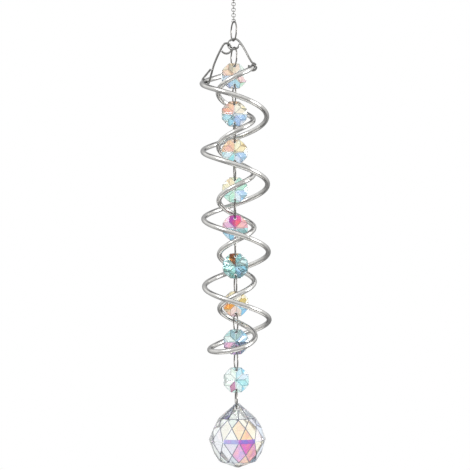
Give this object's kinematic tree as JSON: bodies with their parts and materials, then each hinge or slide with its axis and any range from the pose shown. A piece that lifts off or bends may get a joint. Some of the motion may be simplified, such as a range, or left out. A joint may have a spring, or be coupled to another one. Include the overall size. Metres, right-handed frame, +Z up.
{
  "type": "hanging crystal suncatcher",
  "caption": "Hanging ornament: a strand of faceted crystals inside a wire double spiral, with a crystal ball below, hung on a fine chain to throw coloured light.",
  "frame": {"origin": "crown of the hanging ring, where the suncatcher is hung up", "axes": "+Z up along the plumb line, -Y the front, +X to the right as seen from the front"},
  "size_m": [0.0385, 0.0379, 0.2727],
  "materials": {
    "polished_steel_wire": "round stainless steel wire, drawn and polished bright",
    "coated_cut_crystal": "clear cut crystal with flat polished facets and a thin rainbow coating"
  },
  "bodies": {
    "root": {"hanging_ring": "polished_steel_wire", "chain_link_01": "polished_steel_wire", "chain_link_02": "polished_steel_wire", "chain_link_03": "polished_steel_wire", "chain_link_04": "polished_steel_wire", "chain_link_05": "polished_steel_wire", "chain_link_06": "polished_steel_wire", "chain_link_07": "polished_steel_wire", "chain_link_08": "polished_steel_wire", "chain_link_09": "polished_steel_wire", "chain_link_10": "polished_steel_wire", "chain_link_11": "polished_steel_wire", "top_ring": "polished_steel_wire", "bail_arm_left": "polished_steel_wire", "bail_arm_right": "polished_steel_wire", "strand_ring_01": "polished_steel_wire", "strand_ring_02": "polished_steel_wire", "strand_ring_03": "polished_steel_wire", "strand_ring_04": "polished_steel_wire", "strand_ring_05": "polished_steel_wire", "strand_ring_06": "polished_steel_wire", "strand_ring_07": "polished_steel_wire", "strand_ring_08": "polished_steel_wire", "strand_ring_09": "polished_steel_wire", "strand_ring_10": "polished_steel_wire", "octagon_crystal_01": "coated_cut_crystal", "octagon_crystal_02": "coated_cut_crystal", "octagon_crystal_03": "coated_cut_crystal", "octagon_crystal_04": "coated_cut_crystal", "octagon_crystal_05": "coated_cut_crystal", "octagon_crystal_06": "coated_cut_crystal", "octagon_crystal_07": "coated_cut_crystal", "octagon_crystal_08": "coated_cut_crystal", "octagon_crystal_09": "coated_cut_crystal", "crystal_ball": "coated_cut_crystal", "spiral_rod": "polished_steel_wire"}
  },
  "joints": []
}
